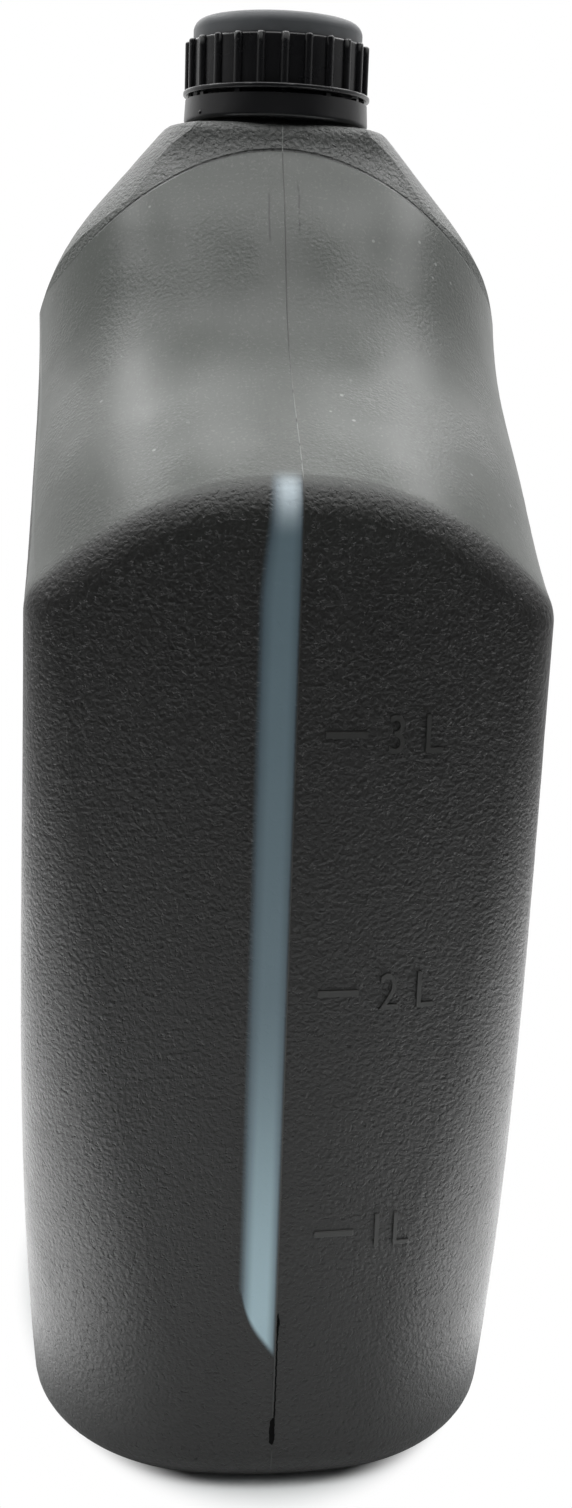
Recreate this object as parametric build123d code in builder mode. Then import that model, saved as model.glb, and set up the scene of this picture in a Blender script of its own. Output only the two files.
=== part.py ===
"""Four-litre blow-moulded oil bottle with a sight-strip face, a pinched handle and a screw cap.

The frame has +Z up and its origin at the middle of the base. The narrow face with the sight strip
looks along -Y, the handle is at +Y, and the mould parts on the plane x = 0. Lengths are millimetres.
"""
from build123d import *
import math
import os

# Bottle body
body_width = 108.0
body_length = 190.0
shoulder_height = 284.0
wall = 1.2
front_radius = 125.0
base_front_corner_radius = 43.0
crease_corner_radius = 10.0
back_corner_radius = 30.0
base_radius = 7.5
shoulder_radius = 24.0
shoulder_edge_radius = 2.5

# Upright walls at rising heights: a little barrel-shaped, with front corners that sharpen upwards
plan_height_shares = (0.0, 0.45, 0.9, 1.35)
plan_width_shares = (0.947, 1.0, 0.972, 1.035)
plan_bow_shares = (1.05, 0.97, 0.85, 0.85)
plan_corner_shares = (1.0, 0.5, 0.0, 0.0)

# Sloping front shoulder: its lower edge is the arched crease over the sight strip
crease_drop = 74.0
crease_radius = 11.0
slope_height_shares = (-0.54, -0.27, 0.0, 0.16, 0.35, 0.54, 0.75, 1.05)
slope_run_shares = (-0.92, -0.46, 0.0, 0.28, 0.6, 0.77, 0.905, 1.0)
slope_depth_shares = (0.72, 0.71, 0.72, 0.71, 0.63, 0.57, 0.54, 0.52)
slope_overhang = 1.2
slope_inset_share = 2.0

# Dome around the neck and over the handle, as half sizes at falling heights
dome_drop = 48.0
dome_drop_shares = (0.0, 0.15, 0.25, 0.4, 0.6, 0.8, 1.0, 1.3, 1.65, 2.05, 2.5)
dome_width_shares = (0.0, 0.22, 0.36, 0.57, 0.79, 0.93, 1.03, 1.16, 1.36, 1.66, 2.05)
dome_front_shares = (0.0, 0.04, 0.08, 0.14, 0.25, 0.39, 0.56, 0.85, 1.2, 1.6, 2.05)
dome_back_shares = (0.0, 0.14, 0.28, 0.52, 0.78, 0.95, 1.04, 1.16, 1.33, 1.58, 1.9)

# Base push-up and standing ring
push_up_depth = 4.0
push_up_edge_radius = 2.0
standing_ring_width = 4.0

# Handle: side scoops leave a pinched web, and the finger opening goes through it
grip_thickness = 36.0
grip_depth = 27.0
rim_radius = 8.0
finger_edge_radius = 6.0
finger_corner_radius = 10.0
scoop_corner_radius = 30.0
scoop_root_radius = 4.0
scoop_land = 12.0
scoop_top_setback = 20.5
scoop_low_depth = 63.5
scoop_low_drop = 100.0
scoop_back_drop = 147.0
finger_top_drop = 43.0

# Neck finish
neck_forward = 2.0
neck_outer_radius = 16.8
neck_bore_radius = 15.0
catch_bead_radius = 17.9
catch_bead_height = 1.2
catch_bead_edge = 0.5
neck_lip_edge = 0.6

# Cap, its liner and its tamper band
band_height = 5.1
band_lower_radius = 20.8
band_upper_radius = 20.5
band_bore_radius = 18.3
band_lip_radius = 17.3
band_lip_height = 1.0
band_edge_radius = 0.9
slit_height = 0.85
bridge_count = 12
bridge_width = 1.2
flange_height = 1.1
flange_radius = 21.0
flange_edge_radius = 0.4
skirt_radius = 19.7
cap_bore_radius = 18.2
cap_top_bore_radius = 17.3
cap_top_bore_depth = 4.5
rib_height = 10.4
rib_count = 24
rib_crest_radius = 20.7
rib_width = 1.9
rib_edge_radius = 0.5
dome_top_radius = 18.9
dome_top_height = 4.7
dome_top_edge_radius = 2.4
skirt_edge_radius = 0.6
cap_top_thickness = 1.6
liner_thickness = 1.0

# Clearances
seat_gap = 0.3
running_gap = 0.1
overrun = 5.0

# Heights that follow from the sizes above
half_width = body_width / 2
half_length = body_length / 2
front_bow = front_radius - math.sqrt(front_radius**2 - half_width**2)
neck_y = -neck_forward
crease_height = shoulder_height - crease_drop
scoop_top = shoulder_height + overrun
scoop_top_y = neck_y + scoop_top_setback
scoop_low_height = shoulder_height - scoop_low_drop
scoop_low_y = half_length - scoop_low_depth
scoop_back_height = shoulder_height - scoop_back_drop
scoop_exit_y = half_length + overrun
finger_top_height = shoulder_height - finger_top_drop
band_bottom = shoulder_height + seat_gap
band_top = band_bottom + band_height
flange_bottom = band_top + slit_height
flange_top = flange_bottom + flange_height
rib_top = flange_top + rib_height
cap_top = rib_top + dome_top_height
cap_inner_top = cap_top - cap_top_thickness
liner_top = cap_inner_top - running_gap
liner_bottom = liner_top - liner_thickness
neck_top = liner_bottom - running_gap
cavity_top = shoulder_height - wall
neck_axis = Axis((0, neck_y, 0), (0, 0, 1))

os.makedirs("parts", exist_ok=True)


def plan_outline(inset, width_share, bow_share, corner_share):
    """Horizontal section of the upright walls: a bowed front and three straight sides."""
    side = half_width * width_share - inset
    bow = bow_share * front_bow
    corner_y = bow - half_length + inset
    back_y = half_length - inset
    corner_spread = base_front_corner_radius - crease_corner_radius
    corner_radius = crease_corner_radius + corner_share * corner_spread
    with BuildSketch() as plan:
        with BuildLine():
            ThreePointArc((-side, corner_y), (0, inset - half_length), (side, corner_y))
            Polyline((side, corner_y), (side, back_y), (-side, back_y), (-side, corner_y))
        make_face()
        fillet(plan.vertices().group_by(Axis.Y)[0], corner_radius - inset)
        fillet(plan.vertices().group_by(Axis.Y)[-1], back_corner_radius - inset)
    return plan.sketch


def wall_form(inset):
    """Solid inside the upright walls, lofted through plan sections up to above the shoulder."""
    with BuildPart() as walls:
        for height_share, width_share, bow_share, corner_share in zip(
            plan_height_shares, plan_width_shares, plan_bow_shares, plan_corner_shares
        ):
            height = inset + height_share * crease_height
            with BuildSketch(Plane.XY.offset(height)):
                add(plan_outline(inset, width_share, bow_share, corner_share))
        loft()
        fillet(walls.edges().group_by(Axis.Z)[0], base_radius - inset)
    return walls.part


def slope_form(inset):
    """Solid behind the sloping front: half-ellipse sections that move back as they rise."""
    run = half_length - neck_forward - shoulder_radius
    side = half_width + slope_overhang - inset
    with BuildPart() as slope:
        for height_share, run_share, depth_share in zip(
            slope_height_shares, slope_run_shares, slope_depth_shares
        ):
            front_y = run_share * run - half_length + slope_inset_share * inset
            depth = depth_share * body_width
            with BuildSketch(Plane.XY.offset(crease_height + height_share * crease_drop)):
                with BuildLine():
                    EllipticalCenterArc((0, front_y + depth), side, depth, 180, arc_size=180)
                    Polyline(
                        (side, front_y + depth),
                        (side, body_length + half_length),
                        (-side, body_length + half_length),
                        (-side, front_y + depth),
                    )
                make_face()
        loft()
        extrude(slope.faces().sort_by(Axis.Z)[0], amount=crease_height)
    return slope.part


def dome_form(inset):
    """Solid under the dome: each section is two half ellipses that meet beside the neck."""
    with BuildPart() as dome:
        for drop_share, width_share, front_share, back_share in zip(
            dome_drop_shares, dome_width_shares, dome_front_shares, dome_back_shares
        ):
            height = shoulder_height - inset - drop_share * dome_drop
            width = shoulder_radius + width_share * (half_width - shoulder_radius) - inset
            front = shoulder_radius + front_share * (half_length - shoulder_radius) - inset
            back = shoulder_radius + back_share * (half_length - shoulder_radius) - inset
            with BuildSketch(Plane.XY.offset(height)):
                with BuildLine():
                    EllipticalCenterArc((0, neck_y), width, front, 180, arc_size=180)
                    EllipticalCenterArc((0, neck_y), width, back, 0, arc_size=180)
                make_face()
        loft()
        extrude(dome.faces().sort_by(Axis.Z)[0], amount=shoulder_height)
    return dome.part


def scoop_outline(growth):
    """Side view, with Y across and Z up, of the region cut back to the handle web."""
    with BuildSketch() as scoop:
        with BuildLine():
            Polyline(
                (scoop_top_y, scoop_top),
                (scoop_low_y, scoop_low_height),
                (scoop_exit_y, scoop_back_height),
                (scoop_exit_y, scoop_top),
                close=True,
            )
        make_face()
        fillet(scoop.vertices().sort_by(Axis.X)[1], scoop_corner_radius)
        if growth > 0:
            offset(amount=growth, kind=Kind.INTERSECTION)
    return scoop.sketch_local


def finger_outline(growth):
    """Side view of the finger opening, a land's width inside the scoop and in front of the grip."""
    floor_fall = (scoop_low_height - scoop_back_height) / (scoop_exit_y - scoop_low_y)
    front_lean = (scoop_low_y - scoop_top_y) / (scoop_top - scoop_low_height)
    floor_rise = scoop_land * math.hypot(floor_fall, 1)
    grip_y = half_length - grip_depth
    top_front_y = scoop_low_y - front_lean * (finger_top_height - scoop_low_height) + scoop_land
    low_front_y = scoop_low_y + scoop_land
    with BuildSketch() as finger:
        with BuildLine():
            Polyline(
                (top_front_y, finger_top_height),
                (low_front_y, scoop_low_height + floor_rise - floor_fall * scoop_land),
                (grip_y, scoop_low_height + floor_rise - floor_fall * (grip_y - scoop_low_y)),
                (grip_y, finger_top_height),
                close=True,
            )
        make_face()
        fillet(finger.vertices(), finger_corner_radius)
        if growth > 0:
            offset(amount=growth)
    return finger.sketch_local


def scoop_cutter(inset):
    """Cutter for the +X side scoop, with its inner edge rounded so that it leaves a soft root."""
    with BuildPart() as cutter:
        with BuildSketch(Plane.YZ.offset(grip_thickness / 2 - inset)):
            add(scoop_outline(inset))
        extrude(amount=body_width)
        fillet(cutter.edges().group_by(Axis.X)[0], scoop_root_radius + inset)
    return cutter.part


def bottle_form(inset):
    """Whole bottle below the neck, shrunk by the inset on every side."""
    cutter = scoop_cutter(inset)
    with BuildPart() as form:
        add(wall_form(inset))
        add(slope_form(inset), mode=Mode.INTERSECT)
        fillet(form.edges(Select.NEW).sort_by(Axis.Y)[:3], crease_radius - inset)
        add(dome_form(inset), mode=Mode.INTERSECT)
        fillet(form.faces().sort_by(Axis.Z)[-1].edges(), shoulder_edge_radius)
        for side_cutter in (cutter, mirror(cutter, about=Plane.YZ, mode=Mode.PRIVATE)):
            add(side_cutter, mode=Mode.SUBTRACT)
            fillet(form.edges(Select.NEW), rim_radius - inset)
        with BuildSketch(Plane.YZ):
            add(finger_outline(inset))
        extrude(amount=body_width, both=True, mode=Mode.SUBTRACT)
        fillet(form.edges(Select.NEW), finger_edge_radius - inset)
    return form.part


def push_up_form(growth):
    """Recess under the base inside the standing ring, grown for the floor that covers it."""
    with BuildPart() as recess:
        with BuildSketch():
            base_inset = base_radius + standing_ring_width - growth
            add(plan_outline(base_inset, plan_width_shares[0], plan_bow_shares[0], plan_corner_shares[0]))
        extrude(amount=push_up_depth + growth)
        fillet(recess.edges().group_by(Axis.Z)[-1], push_up_edge_radius + growth)
    return recess.part


# Inside of the bottle: the same form one wall smaller, over the covered push-up
with BuildPart() as cavity:
    add(bottle_form(wall))
    add(push_up_form(wall), mode=Mode.SUBTRACT)

# Bottle body: shell, neck with its catch bead for the band, and the open mouth
neck_height = neck_top - cavity_top
bead_bottom = band_bottom + band_lip_height + seat_gap
with BuildPart() as bottle_body:
    add(bottle_form(0))
    add(push_up_form(0), mode=Mode.SUBTRACT)
    add(cavity.part, mode=Mode.SUBTRACT)
    with Locations((0, neck_y, cavity_top)):
        Cylinder(neck_outer_radius, neck_height, align=(Align.CENTER, Align.CENTER, Align.MIN))
    chamfer(bottle_body.edges().group_by(Axis.Z)[-1], neck_lip_edge)
    with BuildSketch(Plane.XZ.offset(neck_forward)):
        with BuildLine():
            Polyline(
                (neck_outer_radius - catch_bead_edge, bead_bottom),
                (catch_bead_radius, bead_bottom),
                (catch_bead_radius, bead_bottom + catch_bead_height - catch_bead_edge),
                (neck_outer_radius, bead_bottom + catch_bead_height + catch_bead_edge),
                (neck_outer_radius - catch_bead_edge, bead_bottom + catch_bead_height + catch_bead_edge),
                close=True,
            )
        make_face()
    revolve(axis=neck_axis)
    with Locations((0, neck_y, cavity_top - wall)):
        Cylinder(
            neck_bore_radius,
            neck_height + overrun,
            align=(Align.CENTER, Align.CENTER, Align.MIN),
            mode=Mode.SUBTRACT,
        )
bottle_body.part.label = "bottle_body"
export_step(bottle_body.part, "parts/bottle_body.step")

# Tamper band: flares to a round lower edge, hooks under the catch bead, carries the broken bridges
with BuildPart() as tamper_band:
    with BuildSketch(Plane.XZ.offset(neck_forward)) as band_section:
        with BuildLine():
            Polyline(
                (band_lip_radius, band_bottom),
                (band_lower_radius, band_bottom),
                (band_upper_radius, band_top),
                (band_bore_radius, band_top),
                (band_bore_radius, band_bottom + band_lip_height),
                (band_lip_radius, band_bottom + band_lip_height),
                close=True,
            )
        make_face()
        fillet(band_section.vertices().sort_by(Axis.X)[-1], band_edge_radius)
    revolve(axis=neck_axis)
    with Locations((0, neck_y, band_top)):
        with PolarLocations(band_upper_radius - bridge_width, bridge_count):
            Box(
                bridge_width,
                bridge_width,
                slit_height - running_gap,
                align=(Align.CENTER, Align.CENTER, Align.MIN),
            )
tamper_band.part.label = "tamper_band"
export_step(tamper_band.part, "parts/tamper_band.step")

# One grip rib of the cap: a round bar with a softened top
with BuildPart() as grip_rib:
    Cylinder(rib_width / 2, rib_height, align=(Align.MAX, Align.CENTER, Align.MIN))
    fillet(grip_rib.edges().group_by(Axis.Z)[-1], rib_edge_radius)

# Cap: flange, ribbed skirt and smooth dome over a stepped bore
with BuildPart() as cap:
    with BuildSketch(Plane.XZ.offset(neck_forward)) as cap_section:
        with BuildLine():
            Polyline(
                (0, flange_bottom),
                (flange_radius, flange_bottom),
                (flange_radius, flange_top),
                (skirt_radius, flange_top),
                (skirt_radius, rib_top),
                (dome_top_radius, rib_top),
                (dome_top_radius, cap_top),
                (0, cap_top),
                close=True,
            )
        make_face()
        fillet(cap_section.vertices().group_by(Axis.Y)[-1].sort_by(Axis.X)[-1], dome_top_edge_radius)
        fillet(cap_section.vertices().sort_by(Axis.X)[-2:], flange_edge_radius)
        skirt_corner = cap_section.vertices().filter_by_position(Axis.Y, rib_top, rib_top).sort_by(Axis.X)[-1]
        fillet(skirt_corner, skirt_edge_radius)
    revolve(axis=neck_axis)
    with Locations((0, neck_y, flange_top)):
        with PolarLocations(rib_crest_radius, rib_count):
            add(grip_rib.part)
    with Locations((0, neck_y, flange_bottom)):
        Cylinder(
            cap_bore_radius,
            cap_inner_top - cap_top_bore_depth - flange_bottom,
            align=(Align.CENTER, Align.CENTER, Align.MIN),
            mode=Mode.SUBTRACT,
        )
        Cylinder(
            cap_top_bore_radius,
            cap_inner_top - flange_bottom,
            align=(Align.CENTER, Align.CENTER, Align.MIN),
            mode=Mode.SUBTRACT,
        )
cap.part.label = "cap"
export_step(cap.part, "parts/cap.step")

# Sealing wad under the top of the cap
with BuildPart() as cap_liner:
    with Locations((0, neck_y, liner_bottom)):
        Cylinder(
            cap_top_bore_radius - seat_gap,
            liner_thickness,
            align=(Align.CENTER, Align.CENTER, Align.MIN),
        )
cap_liner.part.label = "cap_liner"
export_step(cap_liner.part, "parts/cap_liner.step")
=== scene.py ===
"""Looks of a four-litre oil bottle: grained body, satin shoulder, sight strip and glossy ribbed cap.

Lengths are metres in the part's own frame: +Z up, the sight strip faces -Y, the mould parts on x = 0.
"""
import math

import bmesh
import bpy
from mathutils import Matrix, Vector
from mathutils.bvhtree import BVHTree


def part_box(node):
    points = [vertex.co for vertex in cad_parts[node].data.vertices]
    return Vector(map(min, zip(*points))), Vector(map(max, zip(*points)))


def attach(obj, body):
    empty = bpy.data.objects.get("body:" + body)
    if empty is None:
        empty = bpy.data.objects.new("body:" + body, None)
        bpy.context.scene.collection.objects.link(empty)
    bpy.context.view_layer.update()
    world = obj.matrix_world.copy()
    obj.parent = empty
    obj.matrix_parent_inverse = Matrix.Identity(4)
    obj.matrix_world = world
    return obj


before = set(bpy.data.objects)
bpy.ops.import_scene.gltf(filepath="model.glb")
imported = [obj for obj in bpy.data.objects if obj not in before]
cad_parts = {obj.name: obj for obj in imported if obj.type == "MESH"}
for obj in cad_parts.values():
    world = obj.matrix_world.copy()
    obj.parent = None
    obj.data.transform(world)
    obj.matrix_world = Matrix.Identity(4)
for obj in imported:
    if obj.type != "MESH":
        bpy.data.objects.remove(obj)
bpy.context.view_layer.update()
scene = bpy.context.scene

MM = 0.001
BODY_LOW, BODY_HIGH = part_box("bottle_body")
BAND_LOW, BAND_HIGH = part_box("tamper_band")
CAP_LOW, CAP_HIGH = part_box("cap")
FRONT_Y = BODY_LOW.y
HALF_WIDTH = BODY_HIGH.x
NECK_TOP = BODY_HIGH.z
NECK_Y = (CAP_LOW.y + CAP_HIGH.y) / 2
SHOULDER_Z = BAND_LOW.z - 0.3 * MM
CREASE_Z = SHOULDER_Z - 73.3 * MM
DOME_FOOT_Z = CAP_HIGH.z - 4.7 * MM
RIB_CREST = CAP_HIGH.x - 0.3 * MM

# Camera solved from the photograph of 572 by 1508 pixels
PHOTO_HEIGHT = 1508
FOCAL_PIXELS = 1704
SENSOR_SIZE = 36
CAMERA_PLACE = Vector((-32.8, -409.3, 237.1)) * MM
CAMERA_YAW = math.radians(5.61)
CAMERA_PITCH = math.radians(13.54)
CAMERA_ROLL = math.radians(1.93)
CLIP_START = 0.01

# Lamps: place and size in metres, power in watts; a side lamp stands on the left and on the right
STRIP_BOX = (0.72, 0.24, 1.04), (0.26, 1.25), 5.3
FILL_BOX = (0.48, -0.26, 1.04), (0.26, 0.45), 1.6
TABLE_GLOW = (0.175, 0.17, 0.001), (0.22, 0.62), 1.05
TOP_BOX = (0, -0.42, 1.15), (0.56, 0.86), 4.0
TOP_BACK_BOX = (0, 0.46, 1.15), (0.62, 0.5), 2.9
BACK_BOX = (0, 0.95, 0.70), (1.5, 0.4), 2.6
SIDE_BOX_TURN = math.radians(37)
LAMP_AIM = (0, 0, 0.2)

# World: dim in front of the bottle, bright behind it, dimmer below the horizon
FRONT_SURROUND = 0.02
BACK_SURROUND = 0.8
FRONT_ENDS = -0.75
BACK_STARTS = -0.05
HORIZON_SHARE = 0.15
HORIZON_LOW = -0.02
HORIZON_HIGH = 0.35
BACKDROP_STARTS = 0.15
BACKDROP_FULL = 0.75
WHITE = (1.0, 1.0, 1.0, 1.0)

# Floor: it turns white from an ellipse around the bottle's foot outwards
FLOOR_RADIUS = 0.5
FLOOR_SEGMENTS = 96
FLOOR_DROP = 0.02 * MM
FLOOR_COLOUR = (0.80, 0.82, 0.82, 1.0)
FLOOR_ROUGHNESS = 0.7
FLOOR_WHITE_FROM = 0.985
FLOOR_WHITE_FULL = 1.11
FLOOR_BACK_FROM = 0.8 * FRONT_Y

# Parting line
SEAM_WIDTH = 0.34 * MM
SEAM_RISE = 0.09 * MM
SEAM_SINK = 0.12 * MM
SEAM_STEP = 1.2 * MM
SEAM_PROFILE = ((-0.5, -SEAM_SINK), (-0.22, SEAM_RISE), (0.22, SEAM_RISE), (0.5, -SEAM_SINK))
SEAM_RAYS = 2600
OPENING_RAYS = 500
RAY_REACH = 0.6
BODY_CENTRE = Vector((0, 0, 150 * MM))
OPENING_CENTRE = Vector((0, 56 * MM, 214 * MM))
FEWEST_POINTS = 4
CAP_CLEARANCE = 1 * MM
CAP_COVER_RADIUS = 21.5 * MM
STANDING_CLEARANCE = 0.6 * MM
STANDING_FROM = 0.2
SLOT_LOW_Z = 10.8 * MM
SLOT_HIGH_Z = 17.2 * MM

# Pinch mark on the parting line, painted shade in the pinched seam: height, left and right edge in
# millimetres
PINCH_OUTLINE = (
    (10.8, -0.1, 0.1), (11.3, -0.6, 0.42), (13.5, -0.7, 0.5), (16.4, -0.6, 0.42),
    (17.3, 0.1, 0.48), (24.0, 0.2, 0.48), (30.0, 0.2, 0.52), (36.0, 0.2, 0.48),
    (39.5, 0.15, 0.75), (41.2, 0.2, 0.6), (41.8, 0.3, 0.4),
)
PINCH_STEP = 0.4
PINCH_RISE = 0.03 * MM
PINCH_SINK = 0.12 * MM
PINCH_SWAYS = ((0.05 * MM, 2.1, 0), (0.04 * MM, 5.3, 1))

# Graduations: height of each dash, raised letters beside the sight strip
LITRE_HEIGHTS = {1: 59.6 * MM, 2: 112.2 * MM, 3: 164.8 * MM}
DASH_LEFT = {1: 7.2 * MM, 2: 6.0 * MM, 3: 5.6 * MM}
DASH_LENGTH = 8.2 * MM
DASH_HEIGHT = 1.3 * MM
DIGIT_LEFT = {1: 19.9 * MM, 2: 18.6 * MM, 3: 18.0 * MM}
LETTER_LEFT = {1: 23.9 * MM, 2: 26.3 * MM, 3: 25.4 * MM}
LETTER_HEIGHT = 7.6 * MM
LETTER_WIDTH_SHARE = 0.78
LETTER_RESOLUTION = 6
MARK_RISE = 0.32 * MM
MARK_SINK = 0.25 * MM
MARK_BEVEL = 0.16 * MM
MARK_SHARP = math.radians(50)
MERGE_DISTANCE = 0.001 * MM
FRONT_CLEARANCE = 0.05
FRONT_RAY = 0.2

# Moulding nub on the tamper band
NUB_RADIUS = 0.42 * MM
NUB_ANGLE = math.radians(-58)
NUB_HEIGHT = 1.5 * MM
NUB_SINK = 0.15 * MM
NUB_LEAN = 0.25
NUB_STRETCH = 1.2
NUB_SUBDIVISIONS = 3

# Thread on the neck
THREAD_PITCH = 4.0 * MM
THREAD_CREST = 17.75 * MM
THREAD_ROOT = 16.7 * MM
THREAD_SINK = 0.1 * MM
THREAD_TURNS = 1.75
THREAD_START = 2.6 * MM
THREAD_STEPS = 96
THREAD_HALF = 1.05 * MM
THREAD_NARROWEST = 0.55
THREAD_LOWEST = 0.12
THREAD_FADE = 9
CREST_SHARE = 0.35
EDGE_SHARP = math.radians(40)

# Colours of the plastics: darkest and palest of each, and of the marks on them
GRAINED_COLOURS = (0.0042, 0.0040, 0.0036), (0.0070, 0.0065, 0.0059)
SATIN_COLOURS = (0.051, 0.0580, 0.051), (0.067, 0.0745, 0.066)
SPECK_COLOUR = (0.30, 0.31, 0.30)
DIRT_COLOUR = (0.012, 0.012, 0.011)
STREAK_COLOUR = (0.030, 0.030, 0.028)
SAND_COLOUR = (0.16, 0.17, 0.16)
RUN_COLOUR = (0.008, 0.008, 0.008)
# Painted light on the collar
COLLAR_LIGHT_COLOUR = (0.105, 0.108, 0.105)
# Painted shade in the line around the collar's foot
COLLAR_LINE_SHADE_COLOUR = (0.006, 0.006, 0.006)
# Sight strip: painted light at its top and low down, its own colour in the middle
STRIP_TOP_LIT_COLOUR = (0.51, 0.60, 0.65)
STRIP_MIDDLE_COLOUR = (0.137, 0.200, 0.234)
STRIP_LOW_LIT_COLOUR = (0.40, 0.55, 0.61)
# Painted shade along the strip's edges
STRIP_EDGE_SHADE_COLOUR = (0.055, 0.085, 0.110)
RAISED_COLOURS = (0.020, 0.020, 0.019), (0.032, 0.032, 0.030)
# Painted highlight on the raised ridges over the collar and the crease
RIDGE_HIGHLIGHT_COLOUR = (0.20, 0.21, 0.20)
CAP_COLOURS = (0.006, 0.006, 0.007), (0.011, 0.011, 0.012)
# Painted light on the cap's dome top
DOME_LIT_COLOURS = (0.064, 0.069, 0.074), (0.088, 0.093, 0.098)
# Painted glints on the rib ends
RIB_GLINT_COLOUR = (0.16, 0.16, 0.16)
# Painted shade in the pinched seam
PINCH_SHADE_COLOURS = (0.002, 0.002, 0.002), (0.005, 0.005, 0.005)
WAD_COLOURS = (0.78, 0.78, 0.75), (0.88, 0.88, 0.86)
POLYETHYLENE_IOR = 1.51
POLYPROPYLENE_IOR = 1.49

# Below, a SCALE is a noise's scale per metre, a STRETCH is its scale along each axis, and a pair is a
# range: nothing at its first end, everything at its second

# Satin slope between the crease's arch and the collar's arch, and the leather grain around it
GRAIN_SIZE = 0.85 * MM
GRAIN_DEPTH = 0.34 * MM
GRAIN_ON_BODY = 0.75
GRAIN_ON_COLLAR = 1.35
WRINKLE_SCALE = 1.1 / GRAIN_SIZE
WRINKLE_ROUGHNESS = 0.6
WRINKLE_DISTORTION = 0.7
PORE_SCALE = 0.8 / GRAIN_SIZE
PORE_RANGE = (0.60, 0.70)
PIT_HEIGHT = 0.6
WRINKLE_HEIGHT = 0.8
PORE_HEIGHT = 0.5
FINE_SCALE = 700
CLOUD_SCALE = 18
CLOUD_SIZE = 0.34
CLOUD_DARKEST = 0.83
CREASE_FALL_POWER = 2.3
CREASE_FALL_WIDTH = 36 * MM
CREASE_FALL = 10 * MM
CREASE_WANDER = 1.2 * MM
CREASE_SOFT_LOW = 0.6 * MM
CREASE_SOFT_HIGH = 3.6 * MM
COLLAR_APEX_Z = CREASE_Z + 66.6 * MM
COLLAR_FALL = 1 / (85 * MM)
COLLAR_SOFT = 0.15 * MM
COLLAR_PALE = (CREASE_Z + 40 * MM, COLLAR_APEX_Z - 0.6 * MM)
# Painted light: the collar's grained plastic is coloured paler
COLLAR_LIGHT_STRENGTH = 0.8
# Line around the collar's foot: painted shade in its colour, a shallow groove in its relief
COLLAR_LINE_FOOT = (COLLAR_APEX_Z - 0.1 * MM, COLLAR_APEX_Z + 0.25 * MM)
COLLAR_LINE_HEAD = (COLLAR_APEX_Z + 0.75 * MM, COLLAR_APEX_Z + 0.3 * MM)
COLLAR_LINE_SIDES = (46 * MM, 30 * MM)
COLLAR_LINE_SHADE_STRENGTH = 0.75
COLLAR_LINE_DEPTH = 0.25 * MM
PALER_UP_SHOULDER = (CREASE_Z - 25 * MM, SHOULDER_Z - 10 * MM)
SLOPE_SIDE_Y = -41.3 * MM
SLOPE_SIDE_LEAN = 1.55
SLOPE_SIDE_SOFT = 1.0 * MM
SLOPE_BEHIND_NECK = 22 * MM
SATIN_ROUGHNESS = 0.35
GRAIN_ROUGHNESS = 0.45
STRIP_ROUGHNESS = 0.42
WORN_SIZE = 0.10
WORN_SCALE = 90
SATIN_SCALE = 30
SATIN_STRETCH = (1.0, 1.0, 0.15)
RIPPLE_SCALE = 22
RIPPLE_STRETCH = (1.0, 1.0, 0.12)
RIPPLE_DEPTH = 0.25 * MM
PEEL_SCALE = 1300
PEEL_PATCH_SCALE = 40
PEEL_PATCH_RANGE = (0.42, 0.62)
PEEL_DEPTH = 0.13 * MM

# Specks, dirt, streaks and sand on the slope
SPECK_SCALE = 260
SPECK_RANGE = (0.13, 0.07)
SPECK_PATCH_SCALE = 45
SPECK_PATCH_RANGE = (0.56, 0.66)
SPECK_STRENGTH = 0.55
DIRT_SCALE = 310
DIRT_STRETCH = (1.0, 1.0, 0.7)
DIRT_RANGE = (0.12, 0.06)
DIRT_PATCH_SCALE = 38
DIRT_PATCH_RANGE = (0.60, 0.68)
DIRT_STRENGTH = 0.6
STREAK_STRETCH = (1100.0, 300.0, 16.0)
STREAK_ROUGHNESS = 0.6
STREAK_RANGE = (0.54, 0.72)
STREAK_STRENGTH = 0.22
SAND_SCALE = 1700
SAND_RANGE = (0.56, 0.70)
SAND_STRENGTH = 0.30

# Runs on the slope: place across, lowest and highest point
RUNS = ((-3.2 * MM, 257 * MM, 270 * MM), (3.1 * MM, 259 * MM, 272 * MM))
RUN_WANDER = 0.9 * MM
RUN_WIDTH = 0.30 * MM
RUN_CORE = 0.10 * MM
RUN_STRETCH = (40.0, 40.0, 160.0)
RUN_FADE_LOW = 2 * MM
RUN_FADE_HIGH = 3 * MM
RUN_BREAKS = (0.36, 0.52)
RUN_FRONT = (0.0, -10 * MM)
RUN_STRENGTH = 0.75

# Sight strip, left of the parting line
STRIP_WIDTH = 7.4 * MM
STRIP_NARROWING = 1.7 * MM
STRIP_TOP_Z = CREASE_Z + 2.6 * MM
STRIP_LOW_Z = 31.7 * MM
STRIP_SLANT = 1.35
STRIP_ROUNDING = 4.5 * MM
STRIP_ROUNDING_POWER = 6.0
STRIP_BARENESS = 0.85
STRIP_FRONT = (-0.08, -0.085)
STRIP_INNER = (0.12 * MM, -0.75 * MM)
STRIP_NARROWS = (CREASE_Z - 22 * MM, CREASE_Z + 2 * MM)
STRIP_FOOT = (STRIP_LOW_Z - 1.0 * MM, STRIP_LOW_Z + 1.4 * MM)
STRIP_HEAD = (STRIP_TOP_Z + 1.2 * MM, STRIP_TOP_Z - 2.4 * MM)
STRIP_CLOUD_SIZE = 0.12
STRIP_CLOUD_SCALE = 60
STRIP_CLOUD_STRETCH = (1.0, 1.0, 0.25)
# Painted light: the strip paler low down and at its top
STRIP_LIT_LOW = (118 * MM, 34 * MM)
STRIP_LIT_HIGH = (CREASE_Z - 9 * MM, CREASE_Z - 1 * MM)
# Painted shade along the strip's edges, outside this core
STRIP_CORE_OUTER = (0.0, 2.6 * MM)
STRIP_CORE_INNER = (0.1 * MM, -2.3 * MM)
EDGE_SOFT = 0.9 * MM
STRIP_EDGE_SHADE_STRENGTH = 0.75

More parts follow.
